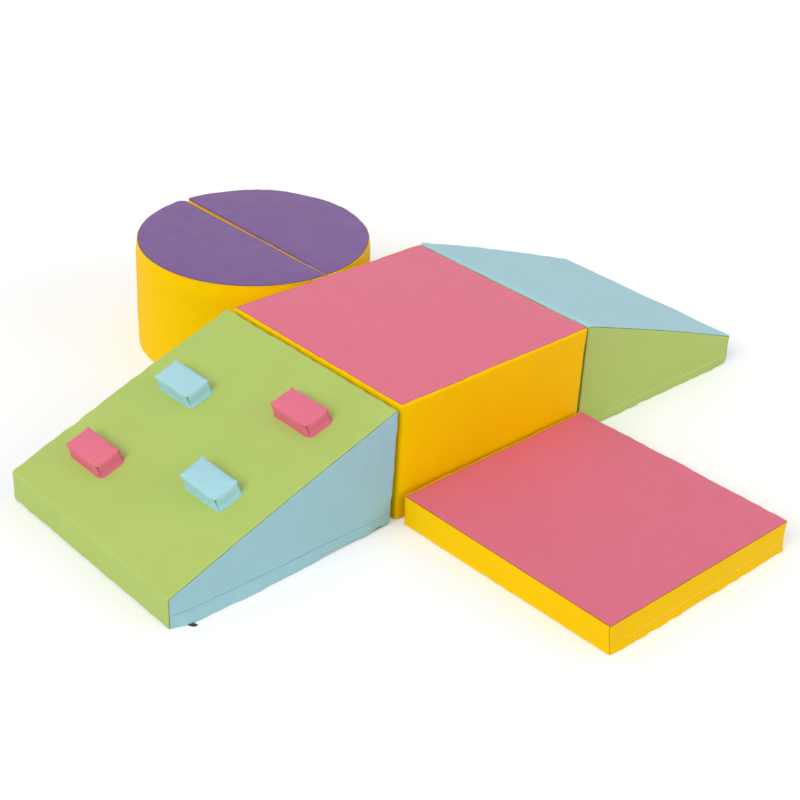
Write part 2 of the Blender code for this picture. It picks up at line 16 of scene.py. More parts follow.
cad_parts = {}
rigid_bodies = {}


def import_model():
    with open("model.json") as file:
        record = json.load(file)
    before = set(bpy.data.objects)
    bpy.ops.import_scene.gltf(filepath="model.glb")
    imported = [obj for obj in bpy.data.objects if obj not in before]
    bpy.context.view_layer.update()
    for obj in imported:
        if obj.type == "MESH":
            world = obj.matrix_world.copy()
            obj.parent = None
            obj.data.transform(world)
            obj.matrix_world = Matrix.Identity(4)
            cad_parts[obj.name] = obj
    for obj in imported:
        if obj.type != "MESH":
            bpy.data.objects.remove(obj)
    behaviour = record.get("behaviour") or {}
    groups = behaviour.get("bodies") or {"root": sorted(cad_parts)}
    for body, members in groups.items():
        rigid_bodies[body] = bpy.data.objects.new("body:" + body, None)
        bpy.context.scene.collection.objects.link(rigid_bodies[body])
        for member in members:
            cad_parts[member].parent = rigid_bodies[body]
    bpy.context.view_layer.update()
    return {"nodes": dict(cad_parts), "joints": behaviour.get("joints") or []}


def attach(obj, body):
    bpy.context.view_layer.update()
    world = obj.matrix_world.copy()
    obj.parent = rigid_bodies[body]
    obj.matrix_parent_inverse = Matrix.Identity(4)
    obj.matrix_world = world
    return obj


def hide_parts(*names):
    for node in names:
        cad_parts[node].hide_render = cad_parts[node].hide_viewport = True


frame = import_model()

# Block, ramp, slide, mat and half-rounds, as in the solids
block_length, block_width, block_height = 0.606, 0.606, 0.304
ramp_size, ramp_gap, ramp_shift = (0.627, 0.614, 0.0785), 0.0118, 0.0027
slide_size, slide_gap, slide_shift = (0.593, 0.597, 0.085), 0.012, 0.0068
mat_width, mat_length, mat_height, mat_gap = 0.6, 0.605, 0.08, 0.014
drum_height, drum_radius, drum_gap, half_gap, half_shift = 0.299, 0.306, 0.008, 0.0032, -0.001
block_corner, mat_corner, half_corner, half_blunt = 0.008, 0.0065, 0.007, 0.022
heel_radius, crease_radius, crest_radius = 0.012, 0.008, 0.007
ramp_toe, slide_toe = 0.010, 0.018
ramp_heel_setback, slide_heel_setback = 0.009, 0.0015

# Cover cloth and its seams
cover_thickness = 0.0012
edge_radius = 0.0045
seam_on_face, seam_below, half_seam, wedge_seam_hidden = (math.radians(angle) for angle in (86, 45, 45, 12))
# The right half's purple wraps down its cut face, and its seam lies low in the gap, where the seam's painted
# shade stands for the gap's shadow
right_cut_seam, left_cut_seam = math.radians(-13), math.radians(82)
# Along the left, right, front and rear side
block_seams = [math.radians(angle) for angle in (98, 50, 112, 88)]
mat_seams = [math.radians(angle) for angle in (50, 30, 34, 104)]
crest_seam_share = 0.95
groove_width = 0.001
welt_height, welt_place, welt_width = 0.0011, 0.0018, 0.001
corner_draw, corner_reach, corner_fade = 0.0034, 0.036, 0.06
mat_draw, mat_draw_reach = (0.004, 0.011), 0.07
left_lean, right_lean = 0.007, 0.009
half_flare, half_flare_fade, flare_start, flare_span = 0.004, 0.04, 0.27, 0.03
# How far a cover's loose foot stands out, and how high that reaches
ramp_flare, mat_flare = (0.014, 0.085), (0.005, 0.045)
foot_depth, foot_fade = 0.012, 0.006
ramp_slack_end, ramp_slack_rise, mat_least_slack, mat_slack_rise = 0.09, 0.75, 0.3, 0.3
# Share of a normal at which it starts to face a way, and the span until it fully does
facing_cut, facing_floor, facing_back = (0.75, 0.25), (0.55, 0.4), (0.75, 0.2)
foam_slack = 0.001

# Size and wavelength of uneven fields
broad_waves, ripple_waves, flap_waves = (0.00045, 0.17), (0.00034, 0.035), (0.0006, 0.05)
hold_waves, thread_waves = (0.0005, 0.035), (0.0004, 0.09)
pucker_reach, pucker_start, pucker_gain, ripple_share = 0.022, 0.002, 2, 0.25

# Fullness of the faces over the foam
box_crown, mat_crown, side_crown = 0.004, 0.003, 0.003
block_bulge, mat_bulge, half_bulge = 0.002, 0.0015, 0.002
slope_bow, slope_bulge, back_bulge = 0.004, 0.002, 0.002
crown_reach = 0.16

# Zips and flaps
zip_end_inset = 0.022
stitch_run_out = 0.012
stitch_heights = {"ramp": 0.033}
usual_stitch_height = 0.025
flap_bottom, flap_bottom_over_pull = 0.001, 0.0065
flap_straight, flap_end, flap_corner, flap_lift = 0.008, 0.012, 0.012, 0.0012
flap_shade, flap_shade_rise, flap_wave_stretch = 0.002, 0.018, 0.3
stitch_pitch, stitch_length = 0.0082, 0.0058
thread_radius, thread_rise = 0.0009, 0.0001
# Dark discs at the needle holes, painted shade of the holes: radius, flatness and rise above the cloth
hole_shadow_radius, hole_shadow_flatness, hole_shadow_rise = 0.0009, 0.3, 0.0001
slot_margin, slot_depth, ray_start = 0.03, 0.05, 0.1
# Share of the cloth's colour and of white in the thread, and share of the cloth's colour in the painted shade
# of its needle holes
thread_tones = {"ramp": (0.78, 0, 0.35), "slide": (0.4, 0.6, 0.8), "mat": (0.75, 0.25, 0.85)}
plain_thread = (0.85, 0, 0.5)

# Climbing holds
hold_places = {
    "hold_pink_high": (0.145, 0.144, "pink_cloth"),
    "hold_blue_high": (0.248, -0.164, "blue_cloth"),
    "hold_blue_low": (0.410, 0.144, "blue_cloth"),
    "hold_pink_low": (0.513, -0.164, "pink_cloth"),
}

# Mesh fineness
outline_step, ring_step = 0.0008, 0.0008
turn_window = 24
column_step = 0.008
arc_turn = 0.16
seam_step, seam_growth = 0.00035, 0.35
cell = 0.009
rim_clearance = 0.55 * cell
face_rim = 0.0012
cut_edge_angle, foam_edge_angle = math.radians(55), math.radians(35)

# Linear colours, and the strength and tint of the cloth's gloss
cloth_colours = {
    "pink_cloth": ((0.75, 0.158, 0.242), 0.35, (1, 1, 1)),
    "yellow_cloth": ((0.965, 0.59, 0), 0.08, (1, 0.75, 0.1)),
    "green_cloth": ((0.432, 0.562, 0.131), 0.35, (1, 1, 1)),
    "blue_cloth": ((0.362, 0.632, 0.71), 0.35, (1, 1, 1)),
    "purple_cloth": ((0.181, 0.087, 0.277), 0.35, (1, 1, 1)),
}
# Brightness of a cloth on one module or on the holds, against the others
lit_and_shaded_shares = {
    # Painted shade on the mat's pink and the ramp's blue, painted light on the slide's green; the holds' blue
    # is a little brighter
    ("mat", "pink_cloth"): 0.95,
    ("slide", "green_cloth"): 1.07,
    ("ramp", "blue_cloth"): 0.94,
    ("hold", "blue_cloth"): 1.04,
}
# Distances from a seam between which painted shade, a darker colour in the seam's groove, gives way to the
# cloth's own colour
seam_shade = (0.0003, 0.0012)
foam_colour = (0.8, 0.79, 0.74)
tape_colour = (0.03, 0.03, 0.034)
metal_colour = (0.035, 0.035, 0.038)


# Uneven fields

class Waves:
    """A smooth uneven field over points: a sum of plane waves, alike on every run."""

    def __init__(self, seed, size, wavelength, count=9):
        draw = np.random.default_rng(seed)
        heading = draw.normal(size=(count, 3))
        heading /= np.linalg.norm(heading, axis=1, keepdims=True)
        lengths = wavelength * draw.uniform(0.7, 1.6, count)
        self.turns = heading * (2 * math.pi / lengths)[:, None]
        self.phase = draw.uniform(0, 2 * math.pi, count)
        self.size = size * math.sqrt(2 / count)

    def __call__(self, points):
        return self.size * np.sin(points @ self.turns.T + self.phase).sum(-1)


def smooth(share):
    share = np.clip(share, 0, 1)
    return share * share * (3 - 2 * share)


def groove(distance):
    """Depth of a seam's groove: both cloths roll inwards in a quarter circle."""
    inside = np.clip(groove_width - distance, 0, groove_width)
    return groove_width - np.sqrt(groove_width**2 - inside**2)


def graded(length, step):
    """Distances from a seam to a length, close together at the seam."""
    near = np.array([0.15, 0.35, 0.6, 0.95, 1.3, 1.8, 2.4, 3.5, 4.7, 7.0, 10.5]) / 1000
    near = near[near < length - step / 2]
    far = near[-1] + (length - near[-1]) * np.linspace(0, 1, max(2, round((length - near[-1]) / step) + 1))
    return np.concatenate([near, far[1:]])


def graded_both(length, step):
    """Distances from one seam to the next, close together at both."""
    half = graded(length / 2, step)
    return np.concatenate([half, (length - half)[::-1][1:]])


# Outlines and skins

class Outline:
    """A closed outline of arcs joined by edges, with outward normals, read at any distance along it.

    Each arc is (centre, radius, start, end, fullness, seam), and each following edge is (bow, fullness). The
    seam is the share of the arc at which a seam crosses it, or None.
    """

    def __init__(self, arcs, edges):
        points, normals, full, marks = [], [], [], []
        for (centre, radius, start, end, swell, seam), (bow, edge_swell), after in zip(
                arcs, edges, arcs[1:] + arcs[:1]):
            steps = max(8, math.ceil(radius * (end - start) / outline_step))
            share = np.linspace(0, 1, steps + 1)
            angle = start + (end - start) * share
            normal = np.stack([np.cos(angle), np.sin(angle)], 1)
            if seam is not None:
                marks.append(sum(map(len, points)) + steps * seam)
            points.append(np.array(centre) + radius * normal)
            normals.append(normal)
            full.append(swell * np.sin(math.pi * share))
            tip = points[-1][-1]
            start_after = np.array(arc_point(after, 2))
            length = np.linalg.norm(start_after - tip)
            steps = max(2, math.ceil(length / outline_step))
            share = np.linspace(0, 1, steps + 1)[1:-1, None]
            arch = 4 * share * (1 - share)
            points.append(tip + (start_after - tip) * share + normal[-1] * bow * arch)
            normals.append(np.repeat(normal[-1:], len(share), 0))
            full.append(edge_swell * arch[:, 0])
        self.points = np.concatenate(points)
        self.normals = np.concatenate(normals)
        self.full = np.concatenate(full)
        steps = np.linalg.norm(np.roll(self.points, -1, 0) - self.points, axis=1)
        self.distance = np.concatenate([[0], np.cumsum(steps)[:-1]])
        self.length = steps.sum()
        self.seams = [float(np.interp(mark, np.arange(len(steps)), self.distance)) for mark in marks]

    def stops(self, first, last, seams):
        """Distances from first to last, closer together on arcs and beside the given seams."""
        fine = outline_step / 4
        along = np.arange(first, last, fine)
        normal = self.at(along)[1]
        turn = np.linalg.norm(np.diff(normal, axis=0, append=normal[-1:]), axis=1) / fine
        turn = np.convolve(turn, np.ones(turn_window) / turn_window, "same")
        density = np.maximum(1 / column_step, turn / arc_turn)
        for seam in seams:
            density = np.maximum(density, 1 / (seam_step + seam_growth * np.abs(along - seam)))
        total = np.concatenate([[0], np.cumsum(density[:-1]) * fine])
        count = math.ceil(total[-1])
        return np.interp(np.linspace(0, total[-1], count + 1), total, np.append(along[:-1], last))

    def at(self, distance):
        """(points, normals, fullness) at distances along the outline."""
        def read(values):
            return np.interp(distance, self.distance, values, period=self.length)
        points, normals = (
            np.stack([read(pairs[:, 0]), read(pairs[:, 1])], -1) for pairs in (self.points, self.normals))
        return points, normals, read(self.full)


def polygon_arcs(corners, seams):
    """Arcs that round a convex polygon's corners, given anticlockwise as (x, y, radius), with their seams."""
    arcs = []
    for k, (x, y, radius) in enumerate(corners):
        before, after = Vector(corners[k - 1][:2]), Vector(corners[(k + 1) % len(corners)][:2])
        corner = Vector((x, y))
        incoming, outgoing = (corner - before).normalized(), (after - corner).normalized()
        first, second = Vector((incoming.y, -incoming.x)), Vector((outgoing.y, -outgoing.x))
        centre = corner - (first + second) / (1 + first.dot(second)) * radius
        start = math.atan2(first.y, first.x)
        turn = math.acos(max(-1.0, min(1.0, first.dot(second))))
        arcs.append((tuple(centre), radius, start, start + turn, 0, seams[k]))
    return arcs


def arc_point(arc, angle):
    """The point of an arc at its start (2) or end (3) angle."""
    centre, radius = arc[:2]
    return (centre[0] + radius * math.cos(arc[angle]), centre[1] + radius * math.sin(arc[angle]))


def box_seams(left, right, front, rear):
    """Top seams of a box, by the side they run along: angles on the rounding, from the band's side."""
    def angles(side, normal):
        if side < 0:
            return np.full(len(normal), seam_below)
        across = np.where(normal[:, 0] < 0, left, right)
        along = np.where(normal[:, 1] < 0, front, rear)
        return across * normal[:, 0] ** 2 + along * normal[:, 1] ** 2
    return angles


def facing(share, limits):
    """How fully a normal faces a way, from its share along that way."""
    start, span = limits
    return smooth((share - start) / span)


def half_seams(cut):
    """Seams of a half-round: along the top of the cut face they have an angle of their own."""
    def angles(side, normal):
        plain = np.full(len(normal), seam_below if side < 0 else half_seam)
        return plain + (cut - plain) * facing(-normal[:, 0], facing_cut) * (side > 0)
    return angles


def wedge_seams(side, normal):
    """A wedge's side panels end at the edge of the side. At the floor and the back they reach round it."""
    hidden = np.maximum(facing(-normal[:, 1], facing_floor), facing(-normal[:, 0], facing_back))
    return seam_on_face + (wedge_seam_hidden - seam_on_face) * hidden


class Skin:
    """A module's surface where it stands: a band round its outline and a face at each end."""

    def __init__(self, outline, low, high, crowns, sideways, centre, turn, seed, seams):
        self.outline, self.crowns, self.sideways, self.seams = outline, crowns, sideways, seams
        self.middle, self.half = (low + high) / 2, (high - low) / 2
        self.matrix = Matrix.Translation((*centre, 0)) @ Matrix.Rotation(turn, 4, "Z")
        self.broad = Waves(seed, *broad_waves)
        self.ripple = Waves(seed + 50, *ripple_waves)
        self.loose = self.drawn = self.lean = no_push

    def lift(self, flat, level):
        """Local 3-D points of flat points at levels along the axis."""
        level = np.broadcast_to(level, flat.shape[:-1])
        if self.sideways:
            return np.stack([flat[..., 0], level, flat[..., 1]], -1)
        return np.stack([flat[..., 0], flat[..., 1], level], -1)

    def reaches(self, side, normal):
        """How far the rounding reaches from the seam, on the band and on the face, in each column."""
        seam = np.where(np.asarray(side) < 0, self.seams(-1, normal), self.seams(1, normal))
        return edge_radius * seam, edge_radius * (math.pi / 2 - seam)

    def meridian(self, side, u, flat, normal):
        """(flat points, levels, 3-D normals) at u from the seam, over points and normals of the outline."""
        turned = self.reaches(side, normal)[0] + u
        angle = np.clip(turned / edge_radius, 0, math.pi / 2)
        past_band = np.clip(-turned, 0, None)
        past_face = np.clip(turned - edge_radius * math.pi / 2, 0, None)
        offset = edge_radius * (np.cos(angle) - 1) - past_face
        level = self.half - edge_radius + edge_radius * np.sin(angle) - past_band
        normals = self.lift(normal[None] * np.cos(angle)[..., None], side * np.sin(angle))
        return flat[None] + normal[None] * offset[..., None], self.middle + side * level, normals

    def crown(self, side, inset):
        share = np.clip(inset / crown_reach, 0, 1)
        return self.crowns[side > 0] * (1 - (1 - share) ** 2)

    def uneven(self, points, seam_distance):
        """The cloth's unevenness, strongest where it puckers beside a seam."""
        near = np.exp(-seam_distance / pucker_reach) * (1 - np.exp(-seam_distance / pucker_start))
        ripple = self.ripple(points)
        return self.broad(points) + pucker_gain * ripple * near + ripple_share * ripple

    def settle(self, points, normals, relief):
        """World points from local points moved out along their normals, and pushed along X and Y."""
        moved = points + normals * relief[..., None]
        place = np.moveaxis(moved, -1, 0)
        for x, y in [push(*place) for push in (self.loose, self.drawn, self.lean)]:
            moved[..., 0] += x
            moved[..., 1] += y
        moved[..., 2] = np.maximum(moved[..., 2], 0)
        m = np.array(self.matrix)
        return moved @ m[:3, :3].T + m[:3, 3]


def no_push(x, y, z):
    return 0, 0


def quads(rows, columns, closed, flip):
    index = np.arange(rows * columns).reshape(rows, columns)
    if closed:
        index = np.concatenate([index, index[:, :1]], 1)
    faces = np.stack([index[:-1, :-1], index[:-1, 1:], index[1:, 1:], index[1:, :-1]], -1).reshape(-1, 4)
    return (faces[:, ::-1] if flip else faces).tolist()


def welt(distance):
    """The fold that stands up beside a seam, on the panel that is sewn over the other."""
    return welt_height * np.exp(-((distance - welt_place) / welt_width) ** 2)


def band_panel(skin, first=None, last=None):
    """(points, faces, seam distances) of the band between two seams across it, or all round one seam."""
    outline = skin.outline
    last = first + outline.length if last is None else last
    along = outline.stops(first, last, (first, last))
    flat, normal, full = outline.at(along)
    to_middle = skin.reaches(-1, normal)[0] + skin.half - edge_radius
    reach = to_middle + skin.reaches(1, normal)[0] + skin.half - edge_radius
    widest = float(reach.max())
    across = graded_both(widest, cell)[:, None] / widest * reach
    side = np.where(across < to_middle, -1, 1)
    to_edge = np.where(side < 0, across, reach - across)
    swept, level, normals = skin.meridian(side, -to_edge, flat, normal)
    points = skin.lift(swept, level)
    to_seam = np.minimum(along - first, last - along)
    distance = np.minimum(to_edge, to_seam[None])
    fullness = full[None] * (1 - ((level - skin.middle) / skin.half) ** 2)
    relief = fullness + skin.uneven(points, distance) - groove(distance)
    if not skin.sideways:
        relief = relief + welt(to_edge)
    world = skin.settle(points, normals, relief)
    faces = quads(len(across), len(along), False, skin.sideways)
    return world.reshape(-1, 3), faces, distance.ravel()


def face_panel(skin, side):
    """(points, faces, seam distances) of the face at one end: rings at the seam, triangles inside."""
    outline = skin.outline
    along = outline.stops(0, outline.length, ())[:-1]
    columns = len(along)
    flat, normal, _ = outline.at(along)
    face_reach = skin.reaches(side, normal)[1]
    ring_reach = np.maximum(face_reach, 0) + face_rim
    widest = float(ring_reach.max())
    inward = graded(widest, ring_step)[:, None] / widest * ring_reach
    rings, level, ring_normals = skin.meridian(side, inward, flat, normal)
    rim = rings[-1]
    low, high = rim.min(0), rim.max(0)
    counts = np.ceil((high - low) / cell).astype(int) + 1
    grid = np.stack(np.meshgrid(*[np.linspace(a, b, n) for a, b, n in zip(low, high, counts)]), -1)
    grid[::2, :, 0] += cell / 2
    grid = grid.reshape(-1, 2)
    apart = np.linalg.norm(grid[:, None] - rim[None], axis=-1)
    gap, nearest = apart.min(1), apart.argmin(1)
    following = np.roll(rim, -1, 0) - rim
    inner = np.stack([-following[:, 1], following[:, 0]], 1)
    inner /= np.linalg.norm(inner, axis=1, keepdims=True)
    inside = ((grid - rim[nearest]) * inner[nearest]).sum(1) > 0
    kept = inside & (gap > rim_clearance)
    grid, gap, nearest = grid[kept], gap[kept], nearest[kept]
    net = np.concatenate([rim, grid])
    made = delaunay_2d_cdt([Vector(p) for p in net], [], [list(range(columns))], 1, 1e-7)
    order = [sources[0] for sources in made[3]]
    base = (len(inward) - 1) * columns
    flip = skin.sideways != (side < 0)
    faces = quads(len(inward), columns, True, flip)
    for triangle in made[2]:
        corner = [order[k] for k in triangle]
        a, b, c = net[corner]
        turned = (b[0] - a[0]) * (c[1] - a[1]) - (b[1] - a[1]) * (c[0] - a[0]) < 0
        corner = [base + k for k in corner]
        faces.append(corner[::-1] if turned != flip else corner)
    inner_points = skin.lift(grid, skin.middle + side * skin.half)
    points = np.concatenate([skin.lift(rings, level).reshape(-1, 3), inner_points])
    normals = np.concatenate([ring_normals.reshape(-1, 3), skin.lift(np.zeros_like(grid), float(side))])
    distance = np.concatenate([inward.ravel(), gap + inward[-1, nearest]])
    inset = np.concatenate([np.clip(inward - face_reach, 0, None).ravel(), gap + face_rim])
    relief = skin.crown(side, inset) + skin.uneven(points, distance) - groove(distance)
    if skin.sideways:
        relief = relief + welt(distance)
    return skin.settle(points, normals, relief), faces, distance


# Pieces

def finish_sheets():
    """Applies the thickness of every sheet, and keeps its cut edges sharp."""
    view = bpy.context.evaluated_depsgraph_get()
    sheets = [made for made in bpy.context.scene.objects if made.modifiers.get("Thickness")]
    meshes = [bpy.data.meshes.new_from_object(made.evaluated_get(view)) for made in sheets]
    for made, mesh in zip(sheets, meshes):
        made.modifiers.clear()
        mesh.name = made.data.name + "_sheet"
        mesh.set_sharp_from_angle(angle=cut_edge_angle)
        made.data = mesh


def new_object(name, data):
    made = bpy.data.objects.new(name, data)
    bpy.context.scene.collection.objects.link(made)
    return made


def add(mesh, slot, body, *replaced, look=None):
    """Links a mesh as a piece that rides on a body and stands for its CAD nodes."""
    made = new_object(mesh.name, mesh)
    mesh.materials.append(look or looks.get((body, slot), looks[slot]))
    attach(made, body)
    if replaced:
        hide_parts(*replaced)
    return made


def add_sheet(name, shape, slot, body, node, look=None):
    """Adds a sheet of cloth that stands for a CAD node. Its thickness goes inwards."""
    points, faces, distance = shape
    mesh = bpy.data.meshes.new(name)
    mesh.from_pydata(points.tolist(), [], faces)
    # The distance to a seam at each point, which sets the cloth's painted seam shade
    mesh.attributes.new("seam", "FLOAT", "POINT").data.foreach_set("value", distance.astype(np.float32))
    mesh.shade_smooth()
    made = add(mesh, slot, body, node, look=look)
    thickness = made.modifiers.new("Thickness", "SOLIDIFY")
    thickness.thickness = cover_thickness
    thickness.offset = -1
    return made


def panel(suffix, shape, slot, body):
    """A cover panel, which stands for the CAD node of its name."""
    return add_sheet(f"{body}{suffix}_panel", shape, slot, body, body + suffix + "_cover")


# Materials

def node_material(name):
    made = bpy.data.materials.new(name)
    made.use_nodes = True
    tree = made.node_tree
    return made, tree, tree.nodes["Principled BSDF"]


def add_node(tree, kind, values, links, operation=None):
    """A shader node, with values and links for its inputs."""
    made = tree.nodes.new("ShaderNode" + kind)
    if operation:
        made.operation = operation
    for key, value in values.items():
        made.inputs[key].default_value = value
    for key, output in links.items():
        tree.links.new(output, made.inputs[key])
    return made


def noise(tree, scale, detail=2, roughness=0.5):
    """A noise texture on the piece's own coordinates."""
    place = add_node(tree, "TexCoord", {}, {}).outputs["Object"]
    values = {"Scale": scale, "Detail": detail, "Roughness": roughness}
    return add_node(tree, "TexNoise", values, {"Vector": place}).outputs["Fac"]


def remap(tree, value, low, high, to_low, to_high):
    values = {"From Min": low, "From Max": high, "To Min": to_low, "To Max": to_high}
    return add_node(tree, "MapRange", values, {"Value": value}).outputs["Result"]


def shaded_colour(tree, colour, brightness):
    """A colour times a brightness field."""
    return add_node(tree, "VectorMath", {0: colour}, {"Scale": brightness}, "SCALE").outputs[0]


def bump(tree, shader, layers):
    """Chains bump layers, each (height, distance, strength)."""
    links = {}
    for height, distance, strength in layers:
        links["Height"] = height
        made = add_node(tree, "Bump", {"Distance": distance, "Strength": strength}, links)
        links["Normal"] = made.outputs["Normal"]
    tree.links.new(links["Normal"], shader.inputs["Normal"])


def grain(tree, scale):
    """The cells of leather grain."""
    place = add_node(tree, "TexCoord", {}, {}).outputs["Object"]
    cells = add_node(tree, "TexVoronoi", {"Scale": scale}, {"Vector": place})
    cells.feature = "DISTANCE_TO_EDGE"
    return remap(tree, cells.outputs["Distance"], 0, 0.25, 0, 1)


def cloth(name, colour, gloss, tint):
    """Smooth leather-like cloth: fine grain, slight mottling, and painted shade down in the seams, a darker
    colour.
    """
    made, tree, shader = node_material(name)
    seam = add_node(tree, "Attribute", {}, {})
    seam.attribute_name = "seam"
    # Painted shade: towards a seam the cloth's colour turns darker, in place of the shadow down in its groove
    lit = remap(tree, seam.outputs["Fac"], *seam_shade, 0, 1)
    painted_shade_share = remap(tree, seam.outputs["Fac"], *seam_shade, 0.5, 0)
    mottle = remap(tree, noise(tree, 6, 4, 0.6), 0.3, 0.7, 0.975, 1.025)
    brightness = add_node(tree, "Math", {}, {0: mottle, 1: lit}, "MULTIPLY")
    bright = shaded_colour(tree, colour, brightness.outputs[0])
    dark = shaded_colour(tree, [c**1.6 for c in colour], painted_shade_share)
    both = add_node(tree, "VectorMath", {}, {0: bright, 1: dark}, "ADD")
    tree.links.new(both.outputs[0], shader.inputs["Base Color"])
    tree.links.new(remap(tree, noise(tree, 25, 3), 0.3, 0.7, 0.43, 0.52), shader.inputs["Roughness"])
    shader.inputs["Specular IOR Level"].default_value = gloss
    shader.inputs["Specular Tint"].default_value = (*tint, 1)
    bump(tree, shader, [
        (noise(tree, 90, 3), 0.0004, 0.35),
        (grain(tree, 850), 0.00008, 0.5),
    ])
    return made


def uneven_look(name, colour, pattern, shades, roughness, relief):
    """A material with colour and relief from one noise pattern. Its roughness is a number or a range."""
    made, tree, shader = node_material(name)
    uneven = noise(tree, *pattern)
    tree.links.new(shaded_colour(tree, colour, remap(tree, uneven, *shades)), shader.inputs["Base Color"])
    if isinstance(roughness, tuple):
        tree.links.new(remap(tree, uneven, 0.3, 0.7, *roughness), shader.inputs["Roughness"])
    else:
        shader.inputs["Roughness"].default_value = roughness
    bump(tree, shader, [(uneven, *relief)])
    return made


def thread_look(name, colour):
    """Twisted sewing thread, also used darker as the painted shade of the needle holes."""
    return uneven_look(name, colour, (900, 1), (0.3, 0.7, 0.8, 1.1), 0.7, (0.0002, 0.5))


# Cut foam with open pores, woven zip tape, and black lacquered metal that is a little worn
fittings = {
    "foam": ("foam_look", foam_colour, (700, 4, 0.7), (0.3, 0.6, 0.8, 1), 0.95, (0.0008, 0.8)),
    "zip_tape": ("tape_look", tape_colour, (1500, 1), (0.3, 0.7, 0.7, 1.3), 0.85, (0.0002, 0.6)),
    "zip_metal": ("metal_look", metal_colour, (220, 4), (0.3, 0.7, 0.8, 1.25), (0.35, 0.5),
                  (0.0001, 0.2)),
}
looks = {name: cloth(name + "_look", *values) for name, values in cloth_colours.items()}
for (body, name), share in lit_and_shaded_shares.items():
    colour, gloss, tint = cloth_colours[name]
    looks[body, name] = cloth(f"{body}_{name}_look", [share * c for c in colour], gloss, tint)
looks.update((name, uneven_look(*values)) for name, values in fittings.items())


# Zips: the opening in a side panel, the flap over it and the line of stitches

def open_slot(mesh, site, half, height):
    """Cuts the side panel away where the flap covers the zip, and returns its surface as it was before."""
    shape = bmesh.new()
    shape.from_mesh(mesh)
    to_site = site.inverted()
    whole = BVHTree.FromBMesh(shape)

    def near(reach_x, reach_z):
        for face in shape.faces:
            p = to_site @ face.calc_center_median()
            if abs(p.y) < slot_depth and abs(p.x) < reach_x and p.z < reach_z:
                yield face

    turn = site.to_3x3()
    reach = (half + slot_margin, height + slot_margin)
    cuts = (((0, 0, height), (0, 0, 1)), ((-half, 0, 0), (1, 0, 0)), ((half, 0, 0), (1, 0, 0)))
    for point, way in cuts:
        faces = list(near(*reach))
        edges = list({edge for face in faces for edge in face.edges})
        verts = list({vert for face in faces for vert in face.verts})
        bmesh.ops.bisect_plane(shape, geom=faces + edges + verts, plane_co=site @ Vector(point),
                               plane_no=turn @ Vector(way), dist=1e-6)
    bmesh.ops.delete(shape, geom=list(near(half, height)), context="FACES")
    shape.to_mesh(mesh)
    shape.free()
    mesh.shade_smooth()
    return whole


def surface_reader(whole, site):
    """A function for how far the panel lies from the site's plane, straight on below its rounding."""
    to_site = site.inverted()
    inward = (site.to_3x3() @ Vector((0, 1, 0))).normalized()

    def face(x, z):
        hit = whole.ray_cast(site @ Vector((x, -ray_start, z)), inward)
        return (to_site @ hit[0]).y if hit[0] else 0.0

    def read(x, z):
        if z > flap_straight:
            return face(x, z)
        lowest = face(x, flap_straight)
        return lowest + (lowest - face(x, 2 * flap_straight)) * (flap_straight - z) / flap_straight

    return read


def flap(body, slot, site, half, height, read):
    """The flap hangs from the stitch line and ends in a turned hem just above the floor."""
    across = np.linspace(-half, half, round(2 * half / column_step) + 1)
    shares = np.array([0, 0.04, 0.12, 0.28, 0.46, 0.64, 0.80, 0.90, 0.96, 1.0])
    tuck = np.array([0] * 8 + [0.0002, 0.0007])
    ripple = Waves(40, *flap_waves)
    rows = []
    for share, inward in zip(shares, tuck):
        for x in across:
            flared = max(0.0, -read(x, flap_straight))
            lowest = max(flap_bottom, flap_bottom_over_pull - flared) if body == "ramp" else flap_bottom
            lowest = flap_bottom + (lowest - flap_bottom) * float(smooth((half - abs(x)) / flap_corner))
            level = height * (1 - share) + lowest * share
            free = share * min(1.0, (half - abs(x)) / flap_end)
            out = flap_lift - float(ripple(np.array([x, 0, flap_wave_stretch * level])))
            depth = read(x, level) + inward - free * out
            rows.append(site @ Vector((x, depth, level)))
    points = np.array(rows)
    drop = flap_shade + flap_shade_rise * np.repeat(shares, len(across))
    faces = quads(len(shares), len(across), False, True)
    add_sheet(body + "_flap_panel", (points, faces, drop), slot, body, body + "_zip_flap")


def stitches(body, slot, site, half, height, read):
    """A row of thread stitches, with dark discs between them as painted shade of the needle's holes."""
    shape = bmesh.new()
    wander = Waves(len(body), *thread_waves)
    count = int(2 * half / stitch_pitch)
    for k in range(count):
        x = (k + 0.5 - count / 2) * stitch_pitch
        rise = thread_rise + float(wander(np.array([x, 0, 0])))
        place = Vector((x, read(x, height) - rise, height))
        ball = bmesh.ops.create_uvsphere(shape, u_segments=6, v_segments=5, radius=thread_radius)["verts"]
        bmesh.ops.rotate(shape, verts=ball, cent=(0, 0, 0), matrix=Matrix.Rotation(math.pi / 2, 3, "Y"))
        for vert in ball:
            vert.co.x += math.copysign(stitch_length / 2 - thread_radius, vert.co.x) if vert.co.x else 0
            vert.co += place
        x += stitch_pitch / 2
        # A dark disc just proud of the cloth: painted shade of a needle hole
        if k < count - 1:
            hole = bmesh.ops.create_uvsphere(shape, u_segments=6, v_segments=4, radius=hole_shadow_radius)["verts"]
            for vert in hole:
                vert.co.y *= hole_shadow_flatness
                vert.co += Vector((x, read(x, height) - hole_shadow_rise, height))
            for face in {face for vert in hole for face in vert.link_faces}:
                face.material_index = 1
    bmesh.ops.transform(shape, matrix=site, verts=shape.verts)
    mesh = bpy.data.meshes.new(body + "_stitches")
    shape.to_mesh(mesh)
    shape.free()
    mesh.shade_smooth()
    colour = cloth_colours[slot][0]
    share, white, hole_shadow_share = thread_tones.get(body, plain_thread)
    add(mesh, slot, body, look=thread_look(body + "_thread_look", [share * c + white for c in colour]))
    mesh.materials.append(thread_look(body + "_hole_shadow_look", [hole_shadow_share * c for c in colour]))


